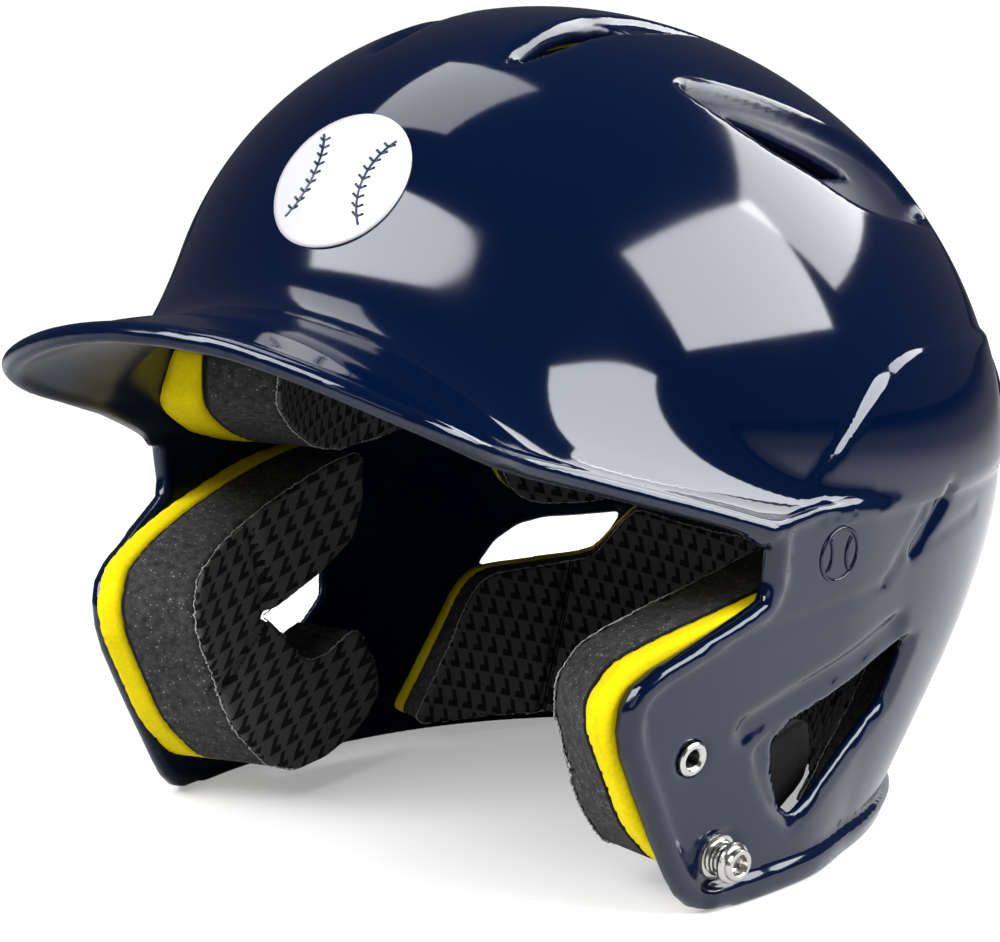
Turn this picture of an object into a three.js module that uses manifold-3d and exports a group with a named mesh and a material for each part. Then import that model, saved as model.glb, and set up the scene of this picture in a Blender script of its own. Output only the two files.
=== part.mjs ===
// Double-ear-flap batting helmet: one moulded shell, glued-in laminated pads and face-guard hardware.
// Millimetres. +Z is up, -Y is the front (the bill), +X is the wearer's left.
// While it is modelled, the origin is on the vertical axis of the head and z = 0 is the plane that the
// lower rim stands on. The finished group is then centred on that plane.

import * as THREE from 'three';
import { mergeVertices } from 'three/addons/utils/BufferGeometryUtils.js';
import Module from 'manifold-3d';

const wasm = await Module();
wasm.setup();

// ---------------------------------------------------------------- driving dimensions

const HALF_WIDTH = 103;        // outside of the shell at its widest level
const HALF_LENGTH = 116.3;     // outside of the dome, centre to front or back, at the same level
const CROWN_RISE = 108.6;      // from the widest level up to the crown
const WIDEST_LEVEL = 99;
const CROWN_LEAN = 0.2035;     // how far the dome leans forward for each millimetre up
const WALL = 3.8;              // thickness of the moulded shell
const GAP = 0.3;               // clearance between glued or fastened pieces

const LEDGE_LOW = 92;          // the ledge under the dome, where the flaps' fuller section begins
const LEDGE_HIGH = 104;
const FLAP_REACH = 190;        // front half-length of the fuller section that the flaps follow
const FLAP_TUCK = 60;          // how much that half-length shrinks towards the lower rim
const FLAP_TUCK_LEVEL = 30;

const RIM_HEIGHT = 6;          // lip that runs round the lower rim
const RIM_PROUD = 2.8;
const EDGE_WIDTH = 5;          // lip along the front edge of each flap
const EDGE_PROUD = 1.6;
const RIM_RADIUS = 2.4;        // half the thickness of the bill's rim

const BASE_FOAM = 6.6;         // yellow foam that is glued to the shell
const COMFORT_FOAM = 17.5;     // thick dark foam
const LINER = 1.1;             // patterned fabric facing
const THIN_BASE = 4.6;         // the same layers on the thinner nape, crown and rear pads
const THIN_COMFORT = 8.4;
const PAD_BORDER = 2.6;        // how far the nape pad's base shows round its comfort foam
const PAD_TUCK = 4;            // how far its upper edge stays below the comfort foam's
const GLUE_DEPTH = WALL + 0.7; // depth at which the first layer of each pad starts

const INSERT_RADIUS = 3.2;     // brass insert for the face guard's upper screw
const INSERT_BORE = 2.1;
const INSERT_FLANGE = 4;
const STUD_RADIUS = 5.8;       // chin-strap stud at the foot of each flap
const STUD_HEIGHT = 8.2;
const STUD_SHANK = 2.2;
const EMBLEM_RADIUS = 19;
const EMBLEM_THICKNESS = 0.6;

// ---------------------------------------------------------------- the family of surfaces

const blend = (t) => {
  const u = THREE.MathUtils.clamp(t, 0, 1);
  return u * u * u * (u * (6 * u - 15) + 10);
};

// Horizontal section of the surface that lies `depth` inside the shell's outside. `level` is the height
// at which the same section leaves the outside surface. Without the ledge, the dome's oval carries on down.
function section(level, depth, ledge = true) {
  const up = Math.max(level - WIDEST_LEVEL, 0) / CROWN_RISE;
  const down = Math.max(WIDEST_LEVEL - level, 0) / WIDEST_LEVEL;
  const round = Math.sqrt(Math.max(1 - up * up, 0));
  const height = Math.min(level, WIDEST_LEVEL) + (CROWN_RISE - depth) * up;
  const half = (HALF_WIDTH - depth) * round - 42.8 * down ** 2 + 23.8 * down ** 3;
  const back = (HALF_LENGTH - depth) * round - 48.3 * down ** 2 + 43 * down ** 3;
  const middle = -CROWN_LEAN * Math.max(height - WIDEST_LEVEL, 0) + 20.1 * down - 50.1 * down ** 2;
  const tuck = THREE.MathUtils.clamp((FLAP_TUCK_LEVEL - level) / FLAP_TUCK_LEVEL, 0, 1.2);
  const full = FLAP_REACH - FLAP_TUCK * tuck ** 2 - depth;
  const share = ledge ? blend((LEDGE_HIGH - level) / (LEDGE_HIGH - LEDGE_LOW)) : 0;
  return { half, back, middle, height, front: back * (1 - share) + full * share };
}

// Point at an angle round the head: 0 is the front, 90 the wearer's left, 180 the back.
function onSurface(degrees, level, depth, ledge = true) {
  const s = section(level, depth, ledge);
  const angle = THREE.MathUtils.degToRad(degrees);
  const reach = Math.cos(angle) > 0 ? s.front : s.back;
  return new THREE.Vector3(s.half * Math.sin(angle), s.middle - reach * Math.cos(angle), s.height);
}

// Point of the dome straight above a point in plan, measured from the head's axis.
function onCrown(x, y, depth) {
  const rise = Math.sqrt(1 - (x / (HALF_WIDTH - depth)) ** 2 - (y / (HALF_LENGTH - depth)) ** 2);
  const height = WIDEST_LEVEL + (CROWN_RISE - depth) * rise;
  return new THREE.Vector3(x, y - CROWN_LEAN * (height - WIDEST_LEVEL), height);
}

function outwardNormal(degrees, level) {
  const along = onSurface(degrees + 1, level, 0).sub(onSurface(degrees - 1, level, 0));
  const up = onSurface(degrees, level + 1, 0).sub(onSurface(degrees, level - 1, 0));
  return along.cross(up).normalize();
}

// ---------------------------------------------------------------- solids

function toSolid(geometry) {
  const plain = geometry.clone();
  plain.deleteAttribute('normal');
  plain.deleteAttribute('uv');
  const merged = mergeVertices(plain, 1e-5);
  return new wasm.Manifold(new wasm.Mesh({
    numProp: 3,
    vertProperties: new Float32Array(merged.attributes.position.array),
    triVerts: new Uint32Array(merged.index.array),
  }));
}

function toGeometry(solid) {
  const mesh = solid.getMesh();
  const geometry = new THREE.BufferGeometry();
  geometry.setAttribute('position', new THREE.BufferAttribute(new Float32Array(mesh.vertProperties), 3));
  geometry.setIndex(new THREE.BufferAttribute(new Uint32Array(mesh.triVerts), 1));
  geometry.computeVertexNormals();
  return geometry;
}

function fromTriangles(points, triangles) {
  const geometry = new THREE.BufferGeometry();
  geometry.setAttribute('position', new THREE.Float32BufferAttribute(points.flatMap((p) => p.toArray()), 3));
  geometry.setIndex(triangles.flat());
  return geometry;
}

function signedVolume(points, triangles) {
  return triangles.reduce((sum, [a, b, c]) => sum + points[a].dot(points[b].clone().cross(points[c])) / 6, 0);
}

// Closed body between two grids of points of the same size: `outer(i, j)` and `inner(i, j)`, where
// i runs 0..columns and j runs 0..rows. The grids may run either way round the head.
function slab(columns, rows, outer, inner) {
  const points = [];
  const triangles = [];
  const width = rows + 1;
  const count = (columns + 1) * width;
  for (const grid of [outer, inner]) {
    for (let i = 0; i <= columns; i += 1) {
      for (let j = 0; j <= rows; j += 1) points.push(grid(i, j));
    }
  }
  const quad = (a, b, c, d) => triangles.push([a, b, c], [a, c, d]);
  const at = (i, j) => i * width + j;
  for (let i = 0; i < columns; i += 1) {
    for (let j = 0; j < rows; j += 1) {
      quad(at(i, j), at(i + 1, j), at(i + 1, j + 1), at(i, j + 1));
      quad(count + at(i, j), count + at(i, j + 1), count + at(i + 1, j + 1), count + at(i + 1, j));
    }
    quad(at(i, 0), count + at(i, 0), count + at(i + 1, 0), at(i + 1, 0));
    quad(at(i, rows), at(i + 1, rows), count + at(i + 1, rows), count + at(i, rows));
  }
  for (let j = 0; j < rows; j += 1) {
    quad(at(0, j), at(0, j + 1), count + at(0, j + 1), count + at(0, j));
    quad(at(columns, j), count + at(columns, j), count + at(columns, j + 1), at(columns, j + 1));
  }
  const facesIn = signedVolume(points, triangles) < 0;
  return fromTriangles(points, facesIn ? triangles.map(([a, b, c]) => [a, c, b]) : triangles);
}

// Everything inside the surface at one depth, from below the rim plane to the crown.
function bowl(depth) {
  const around = 48;
  const levels = [-9, 0, 6, 16, 29, 42, 55, 68, 80, 88, 92, 95, 98, 101, 104];
  for (let rise = 10; rise < 90; rise += 10) {
    levels.push(WIDEST_LEVEL + CROWN_RISE * Math.sin(THREE.MathUtils.degToRad(rise)));
  }
  levels.sort((a, b) => a - b);
  const points = [];
  const triangles = [];
  for (const level of levels) {
    for (let i = 0; i < around; i += 1) points.push(onSurface((i * 360) / around, level, depth));
  }
  const floor = points.push(onSurface(0, levels[0], depth).setX(0).setY(0)) - 1;
  const crown = points.push(onCrown(0, 0, depth)) - 1;
  const last = (levels.length - 1) * around;
  for (let i = 0; i < around; i += 1) {
    const next = (i + 1) % around;
    for (let j = 0; j < last; j += around) {
      triangles.push([j + i, j + next, j + around + next], [j + i, j + around + next, j + around + i]);
    }
    triangles.push([floor, next, i], [crown, last + i, last + next]);
  }
  return toSolid(fromTriangles(points, triangles));
}

// Body with the side-view outline (y, z), running right across the helmet or over one side of it.
function acrossTheHead(outline, from, to) {
  const geometry = new THREE.ExtrudeGeometry(outline, { depth: to - from, bevelEnabled: false, curveSegments: 5 });
  geometry.applyMatrix4(new THREE.Matrix4().makeBasis(
    new THREE.Vector3(0, 1, 0), new THREE.Vector3(0, 0, 1), new THREE.Vector3(1, 0, 0)));
  geometry.translate(from, 0, 0);
  return toSolid(geometry);
}

function box(minimum, maximum) {
  const size = new THREE.Vector3().subVectors(maximum, minimum);
  const geometry = new THREE.BoxGeometry(size.x, size.y, size.z);
  geometry.translate(...new THREE.Vector3().addVectors(minimum, maximum).multiplyScalar(0.5).toArray());
  return toSolid(geometry);
}

// ---------------------------------------------------------------- shell

const REACH = 260; // larger than the helmet in every direction

// Front edge of a flap in side view (y, z), from the notch under the bill down to the lower rim.
const FLAP_EDGE = [
  [-62.5, 92], [-60.5, 78], [-67, 74], [-79, 69], [-92, 64], [-98, 57], [-97.5, 48],
  [-92, 36], [-84, 21], [-77, 10], [-72, 4], [-64, 0],
].map(([y, z]) => new THREE.Vector2(y, z));

// Where the dome's wall ends above the face and the bill takes over, in side view.
const BROW = [[-64, 104], [-76, 116], [-96, 125], [-140, 131]].map(([y, z]) => new THREE.Vector2(y, z));

function shellOutline() {
  return new THREE.Shape([
    new THREE.Vector2(REACH, 0),
    new THREE.Vector2(REACH, REACH),
    new THREE.Vector2(-REACH, REACH),
    new THREE.Vector2(-REACH, BROW.at(-1).y),
    ...BROW.slice().reverse(),
    ...FLAP_EDGE,
  ]);
}

// Strip along the front edge of a flap, `width` wide, in side view.
function edgeStrip(width) {
  const line = FLAP_EDGE;
  const inside = line.map((point, i) => {
    const before = line[Math.max(i - 1, 0)];
    const after = line[Math.min(i + 1, line.length - 1)];
    const along = after.clone().sub(before).normalize();
    return new THREE.Vector2(point.x - along.y * width, point.y + along.x * width);
  });
  return new THREE.Shape([...line, ...inside.reverse()]);
}

// Centre line of the bill's rounded rim, from the left temple to the middle of the front.
const BILL_EDGE = [
  [97, -61, 94], [88, -77, 100], [79.5, -92.5, 105.4], [72, -108, 110.8], [68.5, -122, 115.3],
  [69, -134, 119.6], [65.5, -143.5, 124.6], [56, -151.5, 130], [38, -158.5, 136.6], [18, -161, 140.6],
  [0, -161.3, 141.4],
];

function billEdge() {
  const half = BILL_EDGE.map((p) => new THREE.Vector3(...p));
  const mirrored = half.slice(0, -1).reverse().map((p) => new THREE.Vector3(-p.x, p.y, p.z));
  return new THREE.CatmullRomCurve3([...half, ...mirrored], false, 'centripetal');
}

// The bill grows out of the dome's wall in a hollow curve and runs out to its rim.
function bill() {
  const columns = 32;
  const rows = 7;
  const edge = billEdge();
  const up = new THREE.Vector3(0, 0, 1);
  const profiles = [];
  for (let i = 0; i <= columns; i += 1) {
    const share = i / columns;
    const rim = edge.getPoint(share);
    const middle = onSurface(0, WIDEST_LEVEL, HALF_LENGTH).setZ(rim.z);
    rim.addScaledVector(rim.clone().sub(middle).normalize(), RIM_RADIUS);
    const fromCentre = Math.abs(2 * share - 1);
    const degrees = 58 * (1 - 2 * share);
    const level = THREE.MathUtils.lerp(156, 120, fromCentre ** 1.5);
    const root = onSurface(degrees, level, WALL / 2);
    const down = onSurface(degrees, level - 1, WALL / 2).sub(root).normalize();
    const out = rim.clone().sub(root).setZ(0).normalize();
    const wall = root.clone().addScaledVector(down, 0.75 * (root.z - rim.z));
    const plate = rim.clone().addScaledVector(out, -0.4 * rim.distanceTo(root));
    plate.z += THREE.MathUtils.lerp(-3, 3, fromCentre);
    profiles.push({ curve: new THREE.CubicBezierCurve3(root, wall, plate, rim), out });
  }
  const at = (side) => (i, j) => {
    const { curve, out } = profiles[i];
    const t = j / rows;
    const across = new THREE.Vector3().crossVectors(out, up).normalize();
    const normal = new THREE.Vector3().crossVectors(across, curve.getTangent(t)).normalize();
    const half = THREE.MathUtils.lerp(WALL / 2 - 0.3, RIM_RADIUS, t);
    return curve.getPoint(t).addScaledVector(normal, side * half);
  };
  return toSolid(slab(columns, rows, at(1), at(-1)));
}

// Body between two depths. Its outline is a list of stations, pairs of points (degrees, level) across it.
function patch(stations, from, to, side, rows, ledge = true) {
  const at = (depth) => (i, j) => {
    const [a, b] = stations[i];
    const degrees = THREE.MathUtils.lerp(a[0], b[0], j / rows);
    return onSurface(side * degrees, THREE.MathUtils.lerp(a[1], b[1], j / rows), depth, ledge);
  };
  return slab(stations.length - 1, rows, at(from), at(to));
}

function ventCutter(stations, side) {
  return toSolid(patch(stations, -7, WALL + 7, side, 2));
}

const EAR_VENT = [
  [[77.8, 36], [78, 39]], [[79.6, 29], [79.6, 43.8]], [[82, 21.9], [82.2, 46.2]],
  [[84.7, 17.6], [85.3, 48.8]], [[88.2, 28], [88.5, 52]], [[91.8, 36], [91.7, 55.2]],
  [[93.5, 39.5], [93.2, 54.5]],
];
const REAR_VENT = [
  [[123, 38.5], [124, 41.5]], [[127, 38.7], [127.5, 47.5]], [[131, 39], [131.5, 50.8]],
  [[136, 39.2], [136.5, 52.4]], [[142, 39.4], [142.5, 53]], [[147, 43], [148.5, 53.5]],
];
const SIDE_VENT = [
  [[82.7, 186], [84.2, 187]], [[85.7, 180.5], [89, 184]], [[89, 176.4], [94, 180.5]],
  [[92.3, 173.2], [100, 176]], [[98, 172], [105, 171.4]],
];

// Slot beside the crown, given in plan by its inner and outer side from front to back.
const CROWN_SLOT = [
  [[18.5, -41], [22, -39.5]], [[18.2, -31], [25, -30]], [[18.5, -20], [26.5, -16]],
  [[19.2, -8], [27.6, -3]], [[19.8, 0.6], [28.8, 4.6]],
];

function crownCutter(side) {
  const at = (depth) => (i, j) => onCrown(side * CROWN_SLOT[i][j][0], CROWN_SLOT[i][j][1], depth);
  return toSolid(slab(CROWN_SLOT.length - 1, 1, at(-7), at(WALL + 7)));
}

// Round body whose axis is square to the surface, standing `from`..`to` outside it.
function placeOnSurface(geometry, degrees, level) {
  const normal = outwardNormal(degrees, level);
  geometry.rotateX(Math.PI / 2);
  const turn = new THREE.Quaternion().setFromUnitVectors(new THREE.Vector3(0, 0, 1), normal);
  geometry.applyQuaternion(turn);
  const place = onSurface(degrees, level, 0);
  return geometry.translate(place.x, place.y, place.z);
}

const INSERT_AT = [68.3, 40.5];
const STUD_AT = [76.2, 13];

function drillHole(radius, degrees, level) {
  return toSolid(placeOnSurface(new THREE.CylinderGeometry(radius, radius, 24, 20), degrees, level));
}

function makeShell() {
  const outside = bowl(0);
  const inside = bowl(WALL);
  const whole = acrossTheHead(shellOutline(), -REACH, REACH);
  const strip = acrossTheHead(edgeStrip(EDGE_WIDTH), -REACH, REACH);
  const rimBand = box(new THREE.Vector3(-REACH, -66, 0), new THREE.Vector3(REACH, REACH, RIM_HEIGHT));
  let shell = outside.subtract(inside).intersect(whole);
  shell = shell.add(bowl(-EDGE_PROUD).subtract(inside).intersect(strip));
  shell = shell.add(bowl(-RIM_PROUD).subtract(inside).intersect(rimBand));
  shell = shell.add(bill());
  for (const side of [1, -1]) {
    for (const vent of [EAR_VENT, REAR_VENT, SIDE_VENT]) shell = shell.subtract(ventCutter(vent, side));
    shell = shell.subtract(crownCutter(side));
    shell = shell.subtract(drillHole(INSERT_RADIUS + GAP, side * INSERT_AT[0], INSERT_AT[1]));
    shell = shell.subtract(drillHole(STUD_SHANK + GAP, side * STUD_AT[0], STUD_AT[1]));
  }
  return toGeometry(shell);
}

// ---------------------------------------------------------------- pads

// Outlines of the pads, as stations.
const EAR_PAD = [
  [[88, 83], [87.5, 71]], [[83, 81.5], [85.5, 61]], [[77, 78.5], [80, 54.5]], [[70, 74.5], [74, 50.5]],
  [[63, 70], [71, 49]], [[58, 65.5], [70.5, 48.5]], [[56.4, 57.5], [70.5, 48]],
  [[57.6, 49.5], [70.8, 47.5]], [[60.4, 41], [71.5, 46.8]], [[63.6, 32], [73.5, 43]],
  [[67.3, 22], [76, 38]], [[71.5, 12], [78.5, 33.5]], [[77, 7.5], [81, 33]], [[83, 8], [83.5, 35]],
  [[87.5, 12], [86, 37.5]], [[90, 19], [87, 36]],
];
const SIDE_PAD = [
  [[52.5, 106], [52.5, 121]], [[56, 101.5], [56, 125]], [[61, 98], [61, 128]], [[67, 95], [67, 130]],
  [[74, 91], [74, 131.5]], [[81, 88.5], [81, 132]], [[89, 87.5], [89, 132]], [[97, 88], [97, 132]],
  [[105, 89.5], [105, 131]], [[111, 93], [111, 127]], [[113, 98], [113, 120]],
];
const NAPE_HALF = [
  [[111.5, 7], [112, 10]], [[114.5, 5.5], [115, 22]], [[118.5, 5.5], [119, 37]], [[121.5, 5.5], [122, 41.5]],
  [[128, 5.5], [128, 42.5]], [[136, 5.5], [136, 43.5]], [[143, 5.5], [143, 45]], [[146.5, 5.5], [146.5, 52]],
  [[150, 5.5], [150, 58]], [[158, 5.5], [158, 55]], [[168, 5.5], [168, 52.5]], [[180, 5.5], [180, 52]],
];
const REAR_HALF = [
  [[124, 68], [124, 92]], [[127, 62], [127, 98]], [[132, 60], [132, 101]], [[141, 60], [141, 103]],
  [[147, 61.5], [147, 104]], [[153, 62.5], [153, 104]], [[162, 62.5], [162, 104]],
  [[171, 62.5], [171, 104]], [[180, 62.5], [180, 104]],
];
const BROW_HALF = [
  [[44, 137], [44, 152]], [[40, 133], [40, 157]], [[32, 131], [32, 160]], [[22, 130], [22, 162]],
  [[11, 130], [11, 163]], [[0, 130], [0, 163]],
];

const mirrorEnds = (half) => [
  ...half,
  ...half.slice(0, -1).reverse().map((pair) => pair.map(([d, z]) => [(half.at(-1)[0][0] * 2) - d, z])),
];

// The nape pad's base shows as a border at its ends and foot, and stops short of its upper edge.
function napeBase(stations) {
  const wider = THREE.MathUtils.radToDeg(PAD_BORDER / HALF_WIDTH);
  return stations.map((pair) => pair.map(([degrees, level], end) => {
    const stretch = 1 + wider / (180 - stations[0][0][0]);
    return [180 + (degrees - 180) * stretch, level + (end === 0 ? -PAD_BORDER : -PAD_TUCK)];
  }));
}

// Square-cornered oval pad under the crown.
const CROWN_PAD_X = 46;
const CROWN_PAD_Y = 52;

function crownLayer(from, to) {
  const count = 8;
  const at = (depth) => (i, j) => {
    const u = (2 * i) / count - 1;
    const v = (2 * j) / count - 1;
    const x = u * Math.sqrt(1 - (v * v) / 2) * CROWN_PAD_X;
    const y = v * Math.sqrt(1 - (u * u) / 2) * CROWN_PAD_Y;
    return onCrown(x, y, depth);
  };
  return slab(count, count, at(from), at(to));
}

// ---------------------------------------------------------------- hardware

// The profile is (radius, height) from the inside of the shell outwards; it closes on itself.
function turned(profile, place, side) {
  const points = profile.map(([r, h]) => new THREE.Vector2(r, h));
  const geometry = new THREE.LatheGeometry([...points, points[0]], 16);
  return toGeometry(toSolid(placeOnSurface(geometry, side * place[0], place[1])));
}

const INSERT_PROFILE = [
  [INSERT_BORE, -WALL], [INSERT_RADIUS, -WALL], [INSERT_RADIUS, GAP + 0.15],
  [INSERT_FLANGE, GAP + 0.15], [INSERT_FLANGE - 0.4, 1.1], [INSERT_BORE + 0.3, 1.1], [INSERT_BORE, 0.8],
];

const STUD_PROFILE = [
  [0, -WALL], [STUD_SHANK, -WALL], [STUD_SHANK, 0.5], [STUD_RADIUS, 0.5], [STUD_RADIUS, 1.7],
  [STUD_RADIUS - 0.6, 2.3], [3.6, 2.4], [3.3, 4.2], [4.9, 4.6], [5.1, 5.2], [4.5, 6.2], [4.1, 6.4],
  [3.9, STUD_HEIGHT - 0.3], [3.6, STUD_HEIGHT], [2.6, STUD_HEIGHT], [2.4, 5.4], [0, 5.1],
];

// ---------------------------------------------------------------- emblem

const EMBLEM_LEVEL = 172;

function makeEmblem() {
  const disc = new THREE.CylinderGeometry(EMBLEM_RADIUS, EMBLEM_RADIUS, 30, 40);
  const skin = bowl(-EMBLEM_THICKNESS - GAP).subtract(bowl(-GAP));
  return toGeometry(skin.intersect(toSolid(placeOnSurface(disc, 0, EMBLEM_LEVEL))));
}

// ---------------------------------------------------------------- assembly

const materials = {
  shell: { color: 0x071a38, roughness: 0.12, metalness: 0 },
  base: { color: 0xf2de05, roughness: 0.85, metalness: 0 },
  comfort: { color: 0x3b3b3d, roughness: 0.95, metalness: 0 },
  liner: { color: 0x1c1c1e, roughness: 0.9, metalness: 0 },
  metal: { color: 0xc9cacc, roughness: 0.25, metalness: 1 },
  emblem: { color: 0xf4f4f6, roughness: 0.4, metalness: 0 },
};

const helmet = new THREE.Group();

function addPiece(name, geometry, finish) {
  const mesh = new THREE.Mesh(geometry, new THREE.MeshStandardMaterial(materials[finish]));
  mesh.name = name;
  helmet.add(mesh);
}

function addPad(name, layer, baseFoam, comfortFoam) {
  let depth = GLUE_DEPTH;
  const parts = [['base', baseFoam], ['comfort', comfortFoam], ['liner', LINER]];
  for (const [part, thickness] of parts) {
    addPiece(`${name}_${part}`, layer(depth, depth + thickness, part), part);
    depth += thickness + GAP;
  }
}

addPiece('shell', makeShell(), 'shell');
for (const [suffix, side] of [['left', 1], ['right', -1]]) {
  addPad(`ear_pad_${suffix}`, (a, b) => patch(EAR_PAD, a, b, side, 3), BASE_FOAM, COMFORT_FOAM);
  addPad(`side_pad_${suffix}`, (a, b) => patch(SIDE_PAD, a, b, side, 3, false), BASE_FOAM, COMFORT_FOAM);
  addPiece(`guard_insert_${suffix}`, turned(INSERT_PROFILE, INSERT_AT, side), 'metal');
  addPiece(`strap_stud_${suffix}`, turned(STUD_PROFILE, STUD_AT, side), 'metal');
}
const napePad = mirrorEnds(NAPE_HALF);
addPad('nape_pad', (a, b, part) => patch(part === 'base' ? napeBase(napePad) : napePad, a, b, 1, 3),
  THIN_BASE, THIN_COMFORT);
addPad('rear_pad', (a, b) => patch(mirrorEnds(REAR_HALF), a, b, 1, 3), THIN_BASE, THIN_COMFORT);
addPad('brow_pad', (a, b) => patch(mirrorEnds(BROW_HALF), a, b, 1, 3), THIN_BASE, THIN_COMFORT);
addPad('crown_pad', crownLayer, THIN_BASE, THIN_COMFORT);
addPiece('front_emblem', makeEmblem(), 'emblem');

// Stand the helmet on its rim, centred over the origin.
const extent = new THREE.Box3().setFromObject(helmet);
const centre = extent.getCenter(new THREE.Vector3());
helmet.position.set(-centre.x, -centre.y, -extent.min.z);

export default helmet;
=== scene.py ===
"""Looks of a batting helmet: moulded gloss shell, laminated foam pads, nickel hardware.

Shapes are worked out in millimetres in the helmet's own axes: x to the wearer's left, -y to the front, z up,
with the origin on the vertical axis of the head, on the plane that the lower rim stands on. SHIFT carries
them into the frame.
"""

import math

import bpy
import numpy as np
from mathutils import Matrix, Vector


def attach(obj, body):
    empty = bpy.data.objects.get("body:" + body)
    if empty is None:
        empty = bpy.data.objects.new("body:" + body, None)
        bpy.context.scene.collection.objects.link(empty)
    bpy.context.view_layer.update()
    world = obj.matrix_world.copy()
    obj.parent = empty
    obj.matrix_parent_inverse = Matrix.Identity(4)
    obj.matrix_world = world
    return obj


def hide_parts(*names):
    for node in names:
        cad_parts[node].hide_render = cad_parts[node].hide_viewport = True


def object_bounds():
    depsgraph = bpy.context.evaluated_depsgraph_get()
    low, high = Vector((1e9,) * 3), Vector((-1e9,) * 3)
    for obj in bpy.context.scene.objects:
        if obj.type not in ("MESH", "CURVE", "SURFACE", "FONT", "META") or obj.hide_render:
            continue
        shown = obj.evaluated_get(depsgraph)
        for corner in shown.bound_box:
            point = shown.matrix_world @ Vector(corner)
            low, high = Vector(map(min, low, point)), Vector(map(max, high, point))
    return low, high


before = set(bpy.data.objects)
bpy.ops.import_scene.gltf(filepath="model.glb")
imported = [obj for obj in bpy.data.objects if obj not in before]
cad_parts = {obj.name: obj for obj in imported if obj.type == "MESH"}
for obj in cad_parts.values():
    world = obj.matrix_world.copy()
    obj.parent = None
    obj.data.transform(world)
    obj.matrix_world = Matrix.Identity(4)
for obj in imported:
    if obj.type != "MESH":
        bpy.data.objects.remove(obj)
cad_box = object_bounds()

# ---- driving dimensions, mm

HALF_WIDTH = 103.0
HALF_LENGTH = 116.3
CROWN_RISE = 108.6
WIDEST_LEVEL = 99.0
CROWN_LEAN = 0.2035
WALL = 3.8
FLAP_REACH = 190.0
FLAP_TUCK = 60.0
FLAP_TUCK_LEVEL = 30.0
LEDGE_LOW, LEDGE_HIGH = 92.0, 104.0
NAPE_LEVEL = 88.0          # where the back of the shell bulges furthest
MM = 0.001
CELL = 1.1                 # mesh size of the shell
PAD_CELL = 1.4

# How far details of the shell stand out or go in.
LIP_PROUD, LIP_TOP = 2.6, 7.0           # rolled lip along the lower rim
EDGE_PROUD, EDGE_WIDTH = 1.3, 5.8       # lip along the front edge of a flap
GROOVE_DEPTH, PART_LINE_DEPTH, CHANNEL_DEPTH, BEVEL_DEPTH = 1.7, 0.4, 1.9, 1.3
SIDE_SCOOP_DEPTH, CROWN_SCOOP_DEPTH = 3.4, 2.0


def clamp01(t):
    return np.clip(t, 0.0, 1.0)


def ease(t):
    t = clamp01(t)
    return t * t * (3 - 2 * t)


def blend(t):
    t = clamp01(t)
    return t * t * t * (t * (6 * t - 15) + 10)


def smin(a, b, k):
    """Union of two distance fields with a fillet of about k."""
    h = np.maximum(k - np.abs(a - b), 0) / k
    return np.minimum(a, b) - h * h * k * 0.25


def smax(a, b, k):
    return -smin(-a, -b, k)


# Below the widest level: `down` is 0 there and 1 on the rest plane.

def side_reach(full, down):
    return full - 42.8 * down**2 + 23.8 * down**3


def back_reach(full, down):
    return full - 48.3 * down**2 + 43 * down**3


def set_back(down):
    return 20.1 * down - 50.1 * down**2


def section(level, depth, ledge=True):
    """Half width, back reach, middle, height and front reach of the section at a level."""
    up = np.maximum(level - WIDEST_LEVEL, 0) / CROWN_RISE
    down = np.maximum(WIDEST_LEVEL - level, 0) / WIDEST_LEVEL
    round_ = np.sqrt(np.maximum(1 - up * up, 0))
    height = np.minimum(level, WIDEST_LEVEL) + (CROWN_RISE - depth) * up
    half = side_reach((HALF_WIDTH - depth) * round_, down)
    back = back_reach((HALF_LENGTH - depth) * round_, down)
    middle = set_back(down) - CROWN_LEAN * np.maximum(height - WIDEST_LEVEL, 0)
    tuck = np.clip((FLAP_TUCK_LEVEL - level) / FLAP_TUCK_LEVEL, 0, 1.2)
    full = FLAP_REACH - FLAP_TUCK * tuck**2 - depth
    share = blend((LEDGE_HIGH - level) / (LEDGE_HIGH - LEDGE_LOW)) if ledge else 0.0
    return half, back, middle, height, back * (1 - share) + full * share


def on_surface(degrees, level, depth=0.0, ledge=True):
    """Points at an angle round the head: 0 is the front, 90 the wearer's left, 180 the back."""
    degrees, level, depth = np.broadcast_arrays(*(np.asarray(v, float) for v in (degrees, level, depth)))
    half, back, middle, height, front = section(level, depth, ledge)
    angle = np.radians(degrees)
    reach = np.where(np.cos(angle) > 0, front, back)
    return np.stack([half * np.sin(angle), middle - reach * np.cos(angle), height], -1)


SHIFT = Vector((0, cad_box[1][1] - MM * float(on_surface(180, NAPE_LEVEL)[1]), 0))


# ---- fields of the shell

def dome_distance(x, y, z):
    """Distance to the dome and the back of the shell, without the flaps' fuller front."""
    up = np.maximum(z - WIDEST_LEVEL, 0)
    down = np.clip((WIDEST_LEVEL - z) / WIDEST_LEVEL, 0, 1.15)
    along = y - set_back(down) + CROWN_LEAN * up
    return oval_distance(x, along, up, side_reach(HALF_WIDTH, down), back_reach(HALF_LENGTH, down), down)


def oval_distance(x, along, up, half, reach, down):
    q = np.sqrt((x / half) ** 2 + (along / reach) ** 2 + (up / CROWN_RISE) ** 2)
    slope = (85.6 * down - 71.4 * down**2) / WIDEST_LEVEL
    gx = x / half**2
    gy = along / reach**2
    gz = up / CROWN_RISE**2 + CROWN_LEAN * gy * (up > 0) - slope * (x * x / half**3 + along**2 / reach**3)
    return (q - 1) * q / np.maximum(np.sqrt(gx * gx + gy * gy + gz * gz), 1e-6)


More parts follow.
